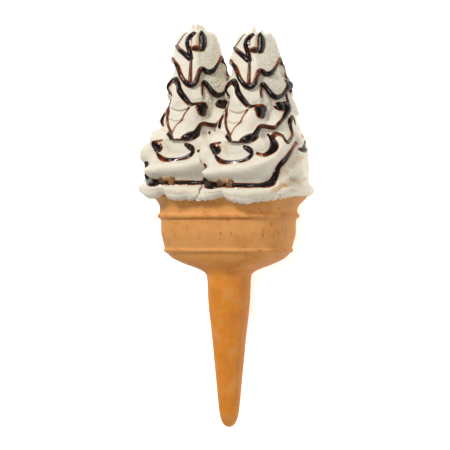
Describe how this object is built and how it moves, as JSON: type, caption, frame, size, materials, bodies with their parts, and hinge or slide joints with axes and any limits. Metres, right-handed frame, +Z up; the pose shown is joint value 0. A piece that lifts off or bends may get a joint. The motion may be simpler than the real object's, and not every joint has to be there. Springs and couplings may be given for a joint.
{
  "type": "ice cream cone",
  "caption": "Long wafer cup on a tapered handle, holding side-by-side soft-serve vanilla swirls laced with chocolate sauce and nut halves; a dessert that lies on its back.",
  "frame": {"origin": "middle of the bounding box's underside, on the surface that the cone lies on", "axes": "+Y along the cone's axis from the handle to the tips of the swirls, +Z up out of the cone's broad front, +X to the right as the front is seen with the tips up"},
  "size_m": [0.1004, 0.2184, 0.062],
  "materials": {
    "vanilla_ice_cream": "soft matte frozen cream, slightly translucent",
    "baked_wafer": "dry baked wafer, browner on raised edges"
  },
  "bodies": {
    "root": {"wafer_cone": "baked_wafer", "ice_cream_left": "vanilla_ice_cream", "ice_cream_right": "vanilla_ice_cream"}
  },
  "joints": []
}
